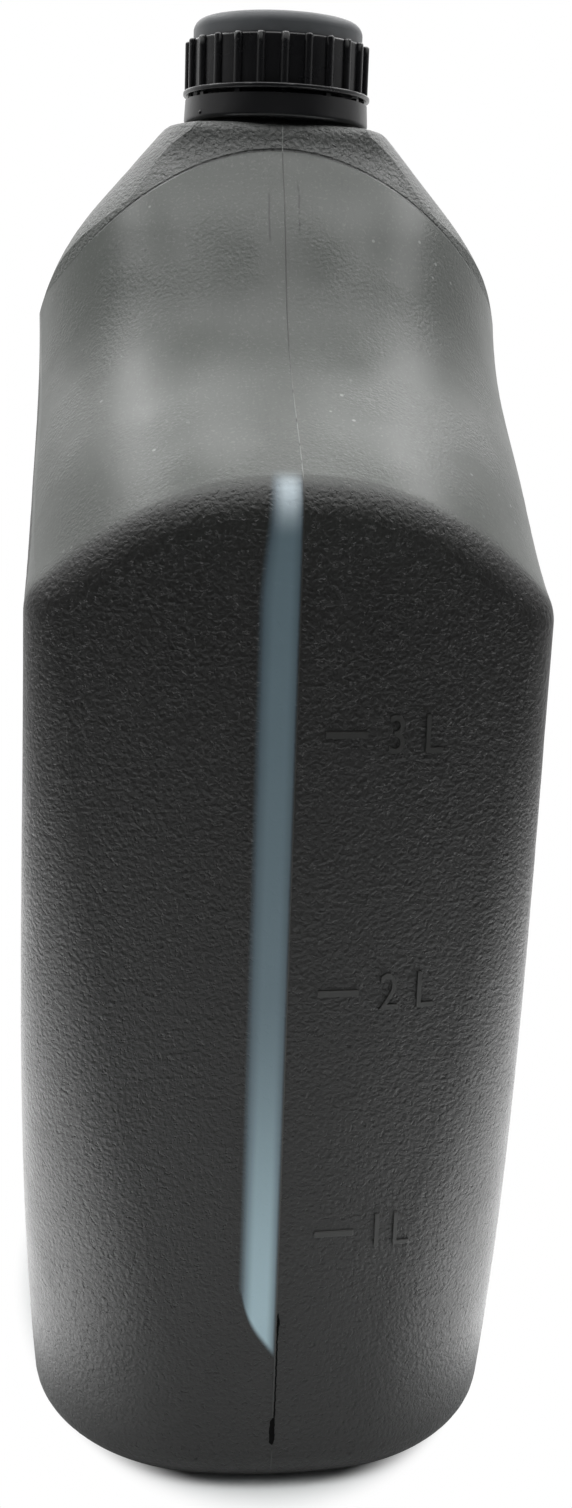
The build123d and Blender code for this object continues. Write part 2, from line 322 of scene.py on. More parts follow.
# Raised plastic of the parting line, graduations and thread, with a painted highlight on the collar and over
# the crease
RAISED_SCALE = 300
RAISED_ROUGHNESS = 0.34
RAISED_ROUGHNESS_SIZE = 0.16
RAISED_ROUGHNESS_SCALE = 150
RAISED_RELIEF_SCALE = 900
RAISED_RELIEF_DEPTH = 0.03 * MM
HIGHLIGHT_ON_COLLAR = (COLLAR_APEX_Z - 0.5 * MM, COLLAR_APEX_Z + 0.5 * MM)
HIGHLIGHT_CREASE_FOOT = (CREASE_Z + 1 * MM, CREASE_Z + 4 * MM)
HIGHLIGHT_CREASE_HEAD = (CREASE_Z + 30 * MM, CREASE_Z + 8 * MM)
HIGHLIGHT_FRONT = (0.0, -5 * MM)
HIGHLIGHT_BREAK_SCALE = 420
HIGHLIGHT_BREAK_RANGE = (0.30, 0.55)

# Cap and band
CAP_ROUGHNESS = 0.27
BAND_ROUGHNESS = 0.32
CAP_SCALE = 120
DOME_SCALE = 90
DOME_EDGE = (DOME_FOOT_Z - 0.1 * MM, DOME_FOOT_Z + 0.3 * MM)
DOME_ROUGHER = 0.22
HAZE_SCALE = 75
HAZE_ROUGHNESS = 0.6
HAZE_SIZE = 0.18
# Painted glints on the crests of the rib ends
RIB_CREST_RANGE = (RIB_CREST - 0.9 * MM, RIB_CREST - 0.3 * MM)
RIB_GLINT_RANGE = (DOME_FOOT_Z - 2.2 * MM, DOME_FOOT_Z - 0.4 * MM)
RIB_GLINT_SCALE = 650
RIB_GLINT_STRETCH = (1.0, 1.0, 0.5)
RIB_GLINT_BREAKS = (0.44, 0.56)
RIB_GLINT_STRENGTH = 0.9
CAP_FINE_SCALE = 2600
CAP_FINE_DEPTH = 0.012 * MM
FLOW_SCALE = 160
FLOW_DEPTH = 0.10 * MM

# Pinch mark and wad
PINCH_SCALE = 900
PINCH_ROUGHNESS = 0.9
PINCH_SPECULAR = 0.08
WAD_SCALE = 500
WAD_ROUGHNESS = 0.75
FOAM_SCALE = 1500
FOAM_DEPTH = 0.05 * MM


def new_object(name, mesh, body, material):
    """Object from a mesh, with its material, riding on a body."""
    piece = bpy.data.objects.new(name, mesh)
    scene.collection.objects.link(piece)
    piece.data.materials.append(material)
    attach(piece, body)
    return piece


def smooth(mesh, angle=None):
    """Smooth shading on every face, with edges past the angle kept sharp."""
    for face in mesh.polygons:
        face.use_smooth = True
    if angle is not None:
        mesh.set_sharp_from_angle(angle=angle)


def skin(build, rings, closed=False):
    """Faces along rings of points, capped at both ends unless the rings close on themselves."""
    pairs = list(zip(rings, rings[1:]))
    if closed:
        pairs.append((rings[-1], rings[0]))
    for one, two in pairs:
        for k in range(len(one)):
            after = (k + 1) % len(one)
            build.faces.new((one[k], one[after], two[after], two[k]))
    if not closed:
        build.faces.new(rings[0])
        build.faces.new(list(reversed(rings[-1])))


def outward_mesh(build, name):
    """Mesh of a finished bmesh, its faces turned outward."""
    mesh = bpy.data.meshes.new(name)
    bmesh.ops.recalc_face_normals(build, faces=build.faces)
    build.to_mesh(mesh)
    build.free()
    return mesh


def link(tree, source, target):
    """Joins an output to an input, or sets the input to a plain value."""
    if isinstance(source, (int, float, tuple)):
        target.default_value = source
    else:
        tree.links.new(source, target)


def math_node(tree, operation, a, b=0.0, c=0.0, clamp=False):
    """Result of a calculation with outputs of other nodes and plain numbers."""
    node = tree.nodes.new("ShaderNodeMath")
    node.operation = operation
    node.use_clamp = clamp
    for value, socket in zip((a, b, c), node.inputs):
        link(tree, value, socket)
    return node.outputs[0]


def ramp(tree, value, low, high, at_low=0.0, at_high=1.0):
    """at_low below low, at_high above high, smooth between; the ends may be given in falling order."""
    node = tree.nodes.new("ShaderNodeMapRange")
    node.interpolation_type = "SMOOTHSTEP"
    if low > high:
        low, high, at_low, at_high = high, low, at_high, at_low
    link(tree, value, node.inputs["Value"])
    node.inputs["From Min"].default_value = low
    node.inputs["From Max"].default_value = high
    node.inputs["To Min"].default_value = at_low
    node.inputs["To Max"].default_value = at_high
    return node.outputs["Result"]


class Nodes:
    """Short calls for building a material's node tree."""

    def __init__(self, name):
        self.material = bpy.data.materials.new(name)
        self.material.use_nodes = True
        self.tree = self.material.node_tree
        self.shader = self.tree.nodes["Principled BSDF"]
        place = self.tree.nodes.new("ShaderNodeTexCoord")
        self.place = place.outputs["Object"]
        split = self.tree.nodes.new("ShaderNodeSeparateXYZ")
        self.link(self.place, split.inputs[0])
        self.x, self.y, self.z = split.outputs

    def link(self, source, target):
        link(self.tree, source, target)

    def set(self, name, source):
        """Gives an input of the shader its value or its output."""
        self.link(source, self.shader.inputs[name])

    def math(self, operation, a, b=0.0, c=0.0, clamp=False):
        return math_node(self.tree, operation, a, b, c, clamp)

    def product(self, first, *others):
        """All the values multiplied."""
        for other in others:
            first = self.math("MULTIPLY", first, other)
        return first

    def step(self, value, low, high):
        """0 at low, 1 at high, smooth between; the ends may be given in falling order."""
        return ramp(self.tree, value, low, high)

    def noise(self, scale, detail=3.0, roughness=0.5, stretch=None, distortion=0.0):
        node = self.tree.nodes.new("ShaderNodeTexNoise")
        node.inputs["Scale"].default_value = scale
        node.inputs["Detail"].default_value = detail
        node.inputs["Roughness"].default_value = roughness
        node.inputs["Distortion"].default_value = distortion
        self.link(self.stretched(stretch), node.inputs["Vector"])
        return node.outputs["Fac"]

    def wander(self, size, scale, detail, stretch=None):
        """Noise about 0, the size from its lowest to its highest."""
        centred = self.math("SUBTRACT", self.noise(scale, detail, stretch=stretch), 0.5)
        return self.math("MULTIPLY", centred, size)

    def cells(self, scale, feature="F1", stretch=None):
        node = self.tree.nodes.new("ShaderNodeTexVoronoi")
        node.feature = feature
        node.inputs["Scale"].default_value = scale
        self.link(self.stretched(stretch), node.inputs["Vector"])
        return node.outputs["Distance"]

    def stretched(self, stretch):
        if stretch is None:
            return self.place
        node = self.tree.nodes.new("ShaderNodeMapping")
        node.inputs["Scale"].default_value = stretch
        self.link(self.place, node.inputs["Vector"])
        return node.outputs[0]

    def mix(self, share, a, b):
        """Colour a where the share is 0, b where it is 1."""
        node = self.tree.nodes.new("ShaderNodeMix")
        node.data_type = "RGBA"
        self.link(share, node.inputs["Factor"])
        for value, socket in ((a, node.inputs[6]), (b, node.inputs[7])):
            self.link(value + (1.0,) if isinstance(value, tuple) else value, socket)
        return node.outputs[2]

    def dimmed(self, colour, share):
        """Colour times a number."""
        grey = self.tree.nodes.new("ShaderNodeCombineColor")
        for socket in grey.inputs:
            self.link(share, socket)
        node = self.tree.nodes.new("ShaderNodeMix")
        node.data_type = "RGBA"
        node.blend_type = "MULTIPLY"
        node.inputs["Factor"].default_value = 1.0
        self.link(colour, node.inputs[6])
        self.link(grey.outputs[0], node.inputs[7])
        return node.outputs[2]

    def blend(self, share, a, b):
        """Number a where the share is 0, b where it is 1."""
        node = self.tree.nodes.new("ShaderNodeMix")
        node.data_type = "FLOAT"
        self.link(share, node.inputs["Factor"])
        self.link(a, node.inputs[2])
        self.link(b, node.inputs[3])
        return node.outputs[0]

    def bump(self, height, distance, before=None):
        """Relief of that depth, on top of the relief before it."""
        node = self.tree.nodes.new("ShaderNodeBump")
        node.inputs["Strength"].default_value = 1.0
        node.inputs["Distance"].default_value = distance
        self.link(height, node.inputs["Height"])
        if before is not None:
            self.link(before, node.inputs["Normal"])
        return node.outputs[0]


def satin_slope(n, across):
    """Share of the satin slope, share in front of the side walls, and height with the collar's arch added."""
    crease_share = n.math("POWER", n.math("DIVIDE", across, CREASE_FALL_WIDTH), CREASE_FALL_POWER)
    above_crease = n.math("MULTIPLY_ADD", crease_share, CREASE_FALL, n.z)
    above_crease = n.math("ADD", above_crease, n.wander(CREASE_WANDER, FINE_SCALE, 2))
    over_crease = n.step(above_crease, CREASE_Z - CREASE_SOFT_LOW, CREASE_Z + CREASE_SOFT_HIGH)
    to_collar = n.math("ADD", n.z, n.product(across, across, COLLAR_FALL))
    under_collar = n.step(to_collar, COLLAR_APEX_Z + COLLAR_SOFT, COLLAR_APEX_Z - COLLAR_SOFT)
    above_z = n.math("SUBTRACT", n.z, CREASE_Z)
    side_line = n.math("MULTIPLY_ADD", above_z, SLOPE_SIDE_LEAN, SLOPE_SIDE_Y)
    in_front = n.step(n.math("SUBTRACT", n.y, side_line), SLOPE_SIDE_SOFT, -SLOPE_SIDE_SOFT)
    in_front = n.math("MULTIPLY", in_front, n.step(n.y, NECK_Y + SLOPE_BEHIND_NECK, NECK_Y))
    return n.product(over_crease, under_collar, in_front), in_front, to_collar


def sight_strip(n):
    """Share of the sight strip, with a slanting foot and soft edges, and its colour with painted light at its
    top and low down and painted shade along its edges.
    """
    on_front = n.step(n.y, *STRIP_FRONT)
    inner = n.step(n.x, *STRIP_INNER)
    narrowing = n.math("MULTIPLY", n.step(n.z, *STRIP_NARROWS), STRIP_NARROWING)
    outer_edge = n.math("SUBTRACT", n.math("ADD", n.x, STRIP_WIDTH), narrowing)
    outer = n.step(outer_edge, -EDGE_SOFT, EDGE_SOFT)
    across = n.math("DIVIDE", n.x, -STRIP_WIDTH, clamp=True)
    rounding = n.math("MULTIPLY", n.math("POWER", across, STRIP_ROUNDING_POWER), STRIP_ROUNDING)
    foot_line = n.math("SUBTRACT", n.math("MULTIPLY_ADD", n.x, STRIP_SLANT, n.z), rounding)
    foot = n.step(foot_line, *STRIP_FOOT)
    head = n.step(n.z, *STRIP_HEAD)
    share = n.product(inner, outer, foot, head, on_front)

    cloud = n.wander(STRIP_CLOUD_SIZE, STRIP_CLOUD_SCALE, 2, stretch=STRIP_CLOUD_STRETCH)
    # Painted light makes the strip paler low down and at its top
    low_light = n.math("ADD", n.step(n.z, *STRIP_LIT_LOW), cloud, clamp=True)
    top_light = n.step(n.z, *STRIP_LIT_HIGH)
    colour = n.mix(low_light, STRIP_MIDDLE_COLOUR, STRIP_LOW_LIT_COLOUR)
    colour = n.mix(top_light, colour, STRIP_TOP_LIT_COLOUR)
    # Painted shade darkens the strip along its edges, outside its core
    core = n.product(n.step(outer_edge, *STRIP_CORE_OUTER), n.step(n.x, *STRIP_CORE_INNER))
    edge_shade = n.math("MULTIPLY_ADD", core, -STRIP_EDGE_SHADE_STRENGTH, STRIP_EDGE_SHADE_STRENGTH)
    return share, n.mix(edge_shade, colour, STRIP_EDGE_SHADE_COLOUR)


def run_mark(n, across, low, high):
    """Fine dark run down the slope, wandering and broken, between two heights."""
    drift = n.wander(RUN_WANDER, 1.0, 2, stretch=RUN_STRETCH)
    off_line = n.math("ABSOLUTE", n.math("SUBTRACT", n.math("ADD", n.x, drift), across))
    line = n.step(off_line, RUN_WIDTH, RUN_CORE)
    above_low = n.step(n.z, low, low + RUN_FADE_LOW)
    below_high = n.step(n.z, high, high - RUN_FADE_HIGH)
    breaks = n.step(n.noise(FINE_SCALE, 2), *RUN_BREAKS)
    on_front = n.step(n.y, *RUN_FRONT)
    return n.product(line, above_low, below_high, breaks, on_front)


def slope_colour(n, collar_share):
    """Satin plastic with specks, dirt, streaks, sand and runs, and painted light that makes the collar paler.
    """
    speck_patches = n.step(n.noise(SPECK_PATCH_SCALE, 1), *SPECK_PATCH_RANGE)
    specks = n.product(n.step(n.cells(SPECK_SCALE), *SPECK_RANGE), speck_patches)
    dirt_patches = n.step(n.noise(DIRT_PATCH_SCALE, 1), *DIRT_PATCH_RANGE)
    dirt = n.product(n.step(n.cells(DIRT_SCALE, stretch=DIRT_STRETCH), *DIRT_RANGE), dirt_patches)
    streaks = n.step(n.noise(1.0, 2, STREAK_ROUGHNESS, stretch=STREAK_STRETCH), *STREAK_RANGE)
    sand = n.step(n.noise(SAND_SCALE, 2), *SAND_RANGE)
    runs = n.math("MAXIMUM", *[run_mark(n, *run) for run in RUNS])
    marks = (
        (specks, SPECK_STRENGTH, SPECK_COLOUR),
        (dirt, DIRT_STRENGTH, DIRT_COLOUR),
        (streaks, STREAK_STRENGTH, STREAK_COLOUR),
        (sand, SAND_STRENGTH, SAND_COLOUR),
        (runs, RUN_STRENGTH, RUN_COLOUR),
        # painted light on the collar
        (collar_share, COLLAR_LIGHT_STRENGTH, COLLAR_LIGHT_COLOUR),
    )
    colour = n.mix(n.noise(SATIN_SCALE, 3, stretch=SATIN_STRETCH), *SATIN_COLOURS)
    for share, strength, mark_colour in marks:
        colour = n.mix(n.math("MULTIPLY", share, strength), colour, mark_colour)
    return colour


def grain_height(n, collar_share, bare):
    """Leather grain of pits, wrinkles and pores, coarser on the collar and gone where the wall is bare."""
    pits = n.cells(1 / GRAIN_SIZE, "SMOOTH_F1")
    wrinkles = n.noise(WRINKLE_SCALE, 3, WRINKLE_ROUGHNESS, distortion=WRINKLE_DISTORTION)
    pores = n.step(n.noise(PORE_SCALE, 2), *PORE_RANGE)
    grain = n.math("ADD", n.math("MULTIPLY", pits, PIT_HEIGHT), n.math("MULTIPLY", wrinkles, WRINKLE_HEIGHT))
    grain = n.math("SUBTRACT", grain, n.math("MULTIPLY", pores, PORE_HEIGHT))
    coarseness = n.blend(collar_share, GRAIN_ON_BODY, GRAIN_ON_COLLAR)
    return n.product(grain, coarseness, n.math("SUBTRACT", 1.0, bare))


def body_material():
    """Black polyethylene: grained, satin on the slope, with its sight strip."""
    n = Nodes("bottle_polyethylene")
    across = n.math("ABSOLUTE", n.x)
    satin, in_front, to_collar = satin_slope(n, across)
    strip, strip_colour = sight_strip(n)
    collar_share = n.product(n.step(n.z, *COLLAR_PALE), n.math("SUBTRACT", 1.0, satin))

    # Colour: paler up the shoulder, where the collar's painted light shows, uneven all over, with painted
    # shade in the line around the collar's foot
    cloud = n.math("MULTIPLY_ADD", n.noise(CLOUD_SCALE, 3), CLOUD_SIZE, CLOUD_DARKEST)
    grained = n.mix(n.noise(FINE_SCALE, 2), *GRAINED_COLOURS)
    paler_up = n.math("MAXIMUM", satin, n.step(n.z, *PALER_UP_SHOULDER))
    colour = n.dimmed(n.mix(paler_up, grained, slope_colour(n, collar_share)), cloud)
    colour = n.mix(strip, colour, strip_colour)
    collar_line = n.product(n.step(to_collar, *COLLAR_LINE_FOOT), n.step(to_collar, *COLLAR_LINE_HEAD))
    collar_line = n.product(collar_line, in_front, n.step(across, *COLLAR_LINE_SIDES))
    # Painted shade darkens the line around the collar's foot
    colour = n.mix(n.product(collar_line, COLLAR_LINE_SHADE_STRENGTH), colour, COLLAR_LINE_SHADE_COLOUR)
    n.set("Base Color", colour)

    # Roughness and relief
    worn = n.wander(WORN_SIZE, WORN_SCALE, 3)
    rough = n.blend(satin, n.math("ADD", GRAIN_ROUGHNESS, worn), n.math("ADD", SATIN_ROUGHNESS, worn))
    n.set("Roughness", n.blend(strip, rough, STRIP_ROUGHNESS))
    n.set("IOR", POLYETHYLENE_IOR)
    bare = n.math("MAXIMUM", satin, n.product(strip, STRIP_BARENESS))
    relief = n.bump(grain_height(n, collar_share, bare), GRAIN_DEPTH)
    ripple = n.product(n.noise(RIPPLE_SCALE, 1, stretch=RIPPLE_STRETCH), satin)
    relief = n.bump(ripple, RIPPLE_DEPTH, relief)
    peel_patches = n.step(n.noise(PEEL_PATCH_SCALE, 2), *PEEL_PATCH_RANGE)
    relief = n.bump(n.product(n.noise(PEEL_SCALE, 3), satin, peel_patches), PEEL_DEPTH, relief)
    groove = n.math("SUBTRACT", 0.0, collar_line)
    n.set("Normal", n.bump(groove, COLLAR_LINE_DEPTH, relief))
    return n.material


def mark_material():
    """Raised graduations, thread and parting line: the body's plastic without its grain."""
    n = Nodes("raised_polyethylene")
    black = n.mix(n.noise(RAISED_SCALE, 3), *RAISED_COLOURS)
    # Painted highlight: the raised ridges paler on the collar and over the crease
    near_crease = n.product(n.step(n.z, *HIGHLIGHT_CREASE_FOOT), n.step(n.z, *HIGHLIGHT_CREASE_HEAD))
    ridge_highlight = n.math("MAXIMUM", n.step(n.z, *HIGHLIGHT_ON_COLLAR), near_crease)
    broken = n.step(n.noise(HIGHLIGHT_BREAK_SCALE, 2), *HIGHLIGHT_BREAK_RANGE)
    ridge_highlight = n.product(ridge_highlight, n.step(n.y, *HIGHLIGHT_FRONT), broken)
    n.set("Base Color", n.mix(ridge_highlight, black, RIDGE_HIGHLIGHT_COLOUR))
    uneven = n.noise(RAISED_ROUGHNESS_SCALE, 2)
    n.set("Roughness", n.math("MULTIPLY_ADD", uneven, RAISED_ROUGHNESS_SIZE, RAISED_ROUGHNESS))
    n.set("IOR", POLYETHYLENE_IOR)
    n.set("Normal", n.bump(n.noise(RAISED_RELIEF_SCALE, 2), RAISED_RELIEF_DEPTH))
    return n.material


def cap_material(name, roughness):
    """Black moulded polypropylene with faint flow marks and handling haze, painted glints on the rib ends and
    painted light on the dome top.
    """
    n = Nodes(name)
    black = n.mix(n.noise(CAP_SCALE, 3), *CAP_COLOURS)
    on_dome = n.step(n.z, *DOME_EDGE)
    off_axis = n.math("SUBTRACT", n.y, NECK_Y)
    from_axis = n.math("ADD", n.product(n.x, n.x), n.product(off_axis, off_axis))
    # Painted glints on the rib ends
    on_crest = n.step(n.math("SQRT", from_axis), *RIB_CREST_RANGE)
    near_end = n.step(n.z, *RIB_GLINT_RANGE)
    broken = n.step(n.noise(RIB_GLINT_SCALE, 2, stretch=RIB_GLINT_STRETCH), *RIB_GLINT_BREAKS)
    black = n.mix(n.product(near_end, on_crest, broken, RIB_GLINT_STRENGTH), black, RIB_GLINT_COLOUR)
    # Painted light: the dome top paler than the cap's sides
    n.set("Base Color", n.mix(on_dome, black, n.mix(n.noise(DOME_SCALE, 3), *DOME_LIT_COLOURS)))
    haze = n.noise(HAZE_SCALE, 4, HAZE_ROUGHNESS)
    rough = n.math("MULTIPLY_ADD", haze, HAZE_SIZE, roughness - HAZE_SIZE / 2)
    n.set("Roughness", n.blend(on_dome, rough, n.math("ADD", rough, DOME_ROUGHER)))
    n.set("IOR", POLYPROPYLENE_IOR)
    fine = n.bump(n.noise(CAP_FINE_SCALE, 2), CAP_FINE_DEPTH)
    n.set("Normal", n.bump(n.noise(FLOW_SCALE, 2), FLOW_DEPTH, fine))
    return n.material


def pinch_material():
    """Painted shade deep in a pinched seam: matt, near black and barely reflecting."""
    n = Nodes("pinch_shade_polyethylene")
    n.set("Base Color", n.mix(n.noise(PINCH_SCALE, 2), *PINCH_SHADE_COLOURS))
    n.set("Roughness", PINCH_ROUGHNESS)
    n.set("Specular IOR Level", PINCH_SPECULAR)
    return n.material


def liner_material():
    """White foamed wad."""
    n = Nodes("foamed_wad")
    n.set("Base Color", n.mix(n.noise(WAD_SCALE, 3), *WAD_COLOURS))
    n.set("Roughness", WAD_ROUGHNESS)
    n.set("Normal", n.bump(n.cells(FOAM_SCALE), FOAM_DEPTH))
    return n.material


def assign(node_name, material):
    """Gives a carried-over solid its material."""
    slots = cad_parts[node_name].data.materials
    slots.clear()
    slots.append(material)


def body_surface():
    """Tree of the body's faces, for rays that look for its surface."""
    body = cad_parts["bottle_body"].data
    return BVHTree.FromPolygons([v.co for v in body.vertices], [p.vertices for p in body.polygons])


def front_y(surface, across, height):
    """Depth of the body's front at that place."""
    start = Vector((across, FRONT_Y - FRONT_CLEARANCE, height))
    place, _, _, _ = surface.ray_cast(start, Vector((0, 1, 0)), FRONT_RAY)
    return place.y if place else FRONT_Y


def seam_outline(surface, centre, directions, outward):
    """Points and outward normals where rays in the plane x = 0 meet the body.

    Rays come in from outside towards the centre, or go out from inside an opening.
    """
    found = []
    for index in range(directions):
        angle = 2 * math.pi * index / directions
        ray = Vector((0, math.cos(angle), math.sin(angle)))
        if outward:
            place, normal, _, _ = surface.ray_cast(centre, ray, RAY_REACH)
        else:
            place, normal, _, _ = surface.ray_cast(centre + ray * RAY_REACH, -ray, RAY_REACH)
        if place is None:
            found.append(None)
            continue
        normal = Vector((0, normal.y, normal.z)).normalized()
        along = normal.dot(ray)
        flipped = along > 0 if outward else along < 0
        if flipped:
            normal = -normal
        under_cap = place.z > SHOULDER_Z - CAP_CLEARANCE and abs(place.y - NECK_Y) < CAP_COVER_RADIUS
        over_slot = place.y < FRONT_Y / 2 and SLOT_LOW_Z < place.z < SLOT_HIGH_Z
        on_floor = place.z < STANDING_CLEARANCE and abs(place.y) > STANDING_FROM * HALF_WIDTH
        found.append(None if under_cap or over_slot or on_floor else (place, normal))
    return found


def resample(outline, step):
    """Runs of outline points at even spacing, broken where rays missed, and whether the outline closes."""
    runs = []
    run = []
    start = outline.index(None) if None in outline else 0
    for item in outline[start:] + outline[:start]:
        if item is None:
            runs.append(run)
            run = []
        elif not run or (item[0] - run[-1][0]).length > step:
            run.append(item)
    runs.append(run)
    return [run for run in runs if len(run) >= FEWEST_POINTS], None not in outline


def parting_seam(material, surface):
    """Fine flash line where the mould halves met, around the body and inside the finger opening."""
    build = bmesh.new()
    for centre, directions, outward in (
        (BODY_CENTRE, SEAM_RAYS, False),
        (OPENING_CENTRE, OPENING_RAYS, True),
    ):
        runs, closed = resample(seam_outline(surface, centre, directions, outward), SEAM_STEP)
        for run in runs:
            rings = [
                [
                    build.verts.new(place + Vector((across * SEAM_WIDTH, 0, 0)) + normal * rise)
                    for across, rise in SEAM_PROFILE
                ]
                for place, normal in run
            ]
            skin(build, rings, closed)
    mesh = outward_mesh(build, "parting_seam")
    smooth(mesh)
    new_object("parting_seam", mesh, "body", material)


def pinch_edges(height):
    """Left and right edge of the pinch mark at a height in millimetres."""
    for (z0, left0, right0), (z1, left1, right1) in zip(PINCH_OUTLINE, PINCH_OUTLINE[1:]):
        if z0 <= height <= z1:
            share = (height - z0) / (z1 - z0)
            left = (left0 + (left1 - left0) * share) * MM
            right = (right0 + (right1 - right0) * share) * MM
    return left, right


def pinch_mark(material, surface):
    """Pinch mark of painted shade low on the parting line, with the hairline that rises from it to the sight
    strip.
    """
    build = bmesh.new()
    rings = []
    low = PINCH_OUTLINE[0][0]
    high = PINCH_OUTLINE[-1][0]
    steps = round((high - low) / PINCH_STEP)
    for index in range(steps + 1):
        height = low + (high - low) * index / steps
        left, right = pinch_edges(height)
        sway = sum(size * math.sin(rate * height + start) for size, rate, start in PINCH_SWAYS)
        profile = ((left, PINCH_SINK), (left, -PINCH_RISE), (right, -PINCH_RISE), (right, PINCH_SINK))
        ring = []
        for edge, depth in profile:
            across = edge + sway
            y = front_y(surface, across, height * MM) + depth
            ring.append(build.verts.new((across, y, height * MM)))
        rings.append(ring)
    skin(build, rings)
    mesh = outward_mesh(build, "pinch_mark")
    smooth(mesh, EDGE_SHARP)
    new_object("pinch_mark", mesh, "body", material)


def text_mesh(text, height):
    """Mesh of upright text of that cap height, in the XZ plane, its low left corner at the origin."""
    curve = bpy.data.curves.new("letters", "FONT")
    curve.body = text
    curve.size = 1.0
    curve.extrude = 0.5
    curve.resolution_u = LETTER_RESOLUTION
    holder = bpy.data.objects.new("letters", curve)
    mesh = bpy.data.meshes.new_from_object(holder)
    bpy.data.objects.remove(holder)
    bpy.data.curves.remove(curve)
    low = Vector([min(v.co[i] for v in mesh.vertices) for i in range(3)])
    high = Vector([max(v.co[i] for v in mesh.vertices) for i in range(3)])
    scale = height / (high.y - low.y)
    for v in mesh.vertices:
        x, y, z = v.co - low
        v.co = (x * scale * LETTER_WIDTH_SHARE, z, y * scale)
    return mesh


def box_mesh(width, height):
    """Bar in the XZ plane, one deep, its low left corner at the origin."""
    mesh = bpy.data.meshes.new("dash")
    build = bmesh.new()
    bmesh.ops.create_cube(build, size=1.0)
    for v in build.verts:
        v.co = ((v.co.x + 0.5) * width, 0.5 - v.co.y, (v.co.z + 0.5) * height)
    build.to_mesh(mesh)
    build.free()
    return mesh


def lay_on_front(mesh, left, low, surface):
    """Moves a flat relief onto the bowed front, sunk at its back and raised at its face."""
    mesh.transform(Matrix.Translation((left, 0, low)))
    for v in mesh.vertices:
        y = front_y(surface, v.co.x, v.co.z)
        v.co.y = y - MARK_RISE if v.co.y > 0.5 else y + MARK_SINK


def graduations(material, surface):
    """Raised dash, numeral and L for each litre."""
    for litre, height in LITRE_HEIGHTS.items():
        build = bmesh.new()
        parts = (
            (box_mesh(DASH_LENGTH, DASH_HEIGHT), DASH_LEFT[litre], height - DASH_HEIGHT / 2),
            (text_mesh(str(litre), LETTER_HEIGHT), DIGIT_LEFT[litre], height - LETTER_HEIGHT / 2),
            (text_mesh("L", LETTER_HEIGHT), LETTER_LEFT[litre], height - LETTER_HEIGHT / 2),
        )
        for part, left, low in parts:
            lay_on_front(part, left, low, surface)
            build.from_mesh(part)
            bpy.data.meshes.remove(part)
        bmesh.ops.remove_doubles(build, verts=build.verts, dist=MERGE_DISTANCE)
        mesh = outward_mesh(build, f"graduation_{litre}l")
        piece = new_object(f"graduation_{litre}l", mesh, "body", material)
        bevel = piece.modifiers.new("soft_edges", "BEVEL")
        bevel.width = MARK_BEVEL
        bevel.segments = 2
        bevel.limit_method = "ANGLE"
        smooth(mesh, MARK_SHARP)


def neck_thread(material):
    """Helical thread ridge on the neck, tapering into the wall at both ends."""
    build = bmesh.new()
    rings = []
    steps = int(THREAD_STEPS * THREAD_TURNS)
    top = NECK_TOP - THREAD_START
    root = THREAD_ROOT - THREAD_SINK
    for index in range(steps + 1):
        share = index / steps
        angle = 2 * math.pi * THREAD_TURNS * share
        height = top - THREAD_PITCH * THREAD_TURNS * share
        fade = min(1.0, THREAD_FADE * share, THREAD_FADE * (1 - share))
        crest = THREAD_ROOT + (THREAD_CREST - THREAD_ROOT) * max(fade, THREAD_LOWEST)
        half = THREAD_HALF * (THREAD_NARROWEST + (1 - THREAD_NARROWEST) * fade)
        profile = ((root, -half), (crest, -CREST_SHARE * half), (crest, CREST_SHARE * half), (root, half))
        rings.append([
            build.verts.new((r * math.cos(angle), NECK_Y + r * math.sin(angle), height + up))
            for r, up in profile
        ])
    skin(build, rings)
    mesh = outward_mesh(build, "neck_thread")
    smooth(mesh, EDGE_SHARP)
    new_object("neck_thread", mesh, "body", material)


def band_nub(material):
    """Small moulding nub low on the tamper band, left of the front."""
    mesh = bpy.data.meshes.new("band_nub")
    build = bmesh.new()
    bmesh.ops.create_icosphere(build, subdivisions=NUB_SUBDIVISIONS, radius=NUB_RADIUS)
    radius = BAND_HIGH.x - NUB_SINK
    x = radius * math.sin(NUB_ANGLE)
    y = NECK_Y - radius * math.cos(NUB_ANGLE)
    spot = Vector((x, y, BAND_LOW.z + NUB_HEIGHT))
    for v in build.verts:
        lean = 1.0 - NUB_LEAN * v.co.z / NUB_RADIUS
        v.co = spot + Vector((v.co.x * lean, v.co.y * lean, v.co.z * NUB_STRETCH))
    build.to_mesh(mesh)
    build.free()
    smooth(mesh)
    new_object("band_nub", mesh, "body", material)


def camera():
    """Camera at the photograph's place and angle."""
    yaw, pitch, roll = CAMERA_YAW, CAMERA_PITCH, CAMERA_ROLL
    forward = Vector((math.sin(yaw) * math.cos(pitch), math.cos(yaw) * math.cos(pitch), -math.sin(pitch)))
    level = Vector((math.cos(yaw), -math.sin(yaw), 0))
    rise = level.cross(forward)
    right = math.cos(roll) * level + math.sin(roll) * rise
    up = math.cos(roll) * rise - math.sin(roll) * level
    data = bpy.data.cameras.new("camera")
    data.sensor_width = SENSOR_SIZE
    data.lens = FOCAL_PIXELS / PHOTO_HEIGHT * SENSOR_SIZE
    data.clip_start = CLIP_START
    eye = bpy.data.objects.new("camera", data)
    eye.matrix_world = Matrix.Translation(CAMERA_PLACE) @ Matrix((right, up, -forward)).transposed().to_4x4()
    scene.collection.objects.link(eye)
    scene.camera = eye


def area_light(name, place, size, power, aim=None):
    """Rectangular lamp that faces its aim, or straight down."""
    data = bpy.data.lights.new(name, "AREA")
    data.shape = "RECTANGLE"
    data.size, data.size_y = size
    data.energy = power
    lamp = bpy.data.objects.new(name, data)
    lamp.location = place
    if aim is not None:
        lamp.rotation_euler = (Vector(aim) - Vector(place)).to_track_quat("-Z", "Y").to_euler()
    lamp.visible_camera = False
    scene.collection.objects.link(lamp)
    return lamp


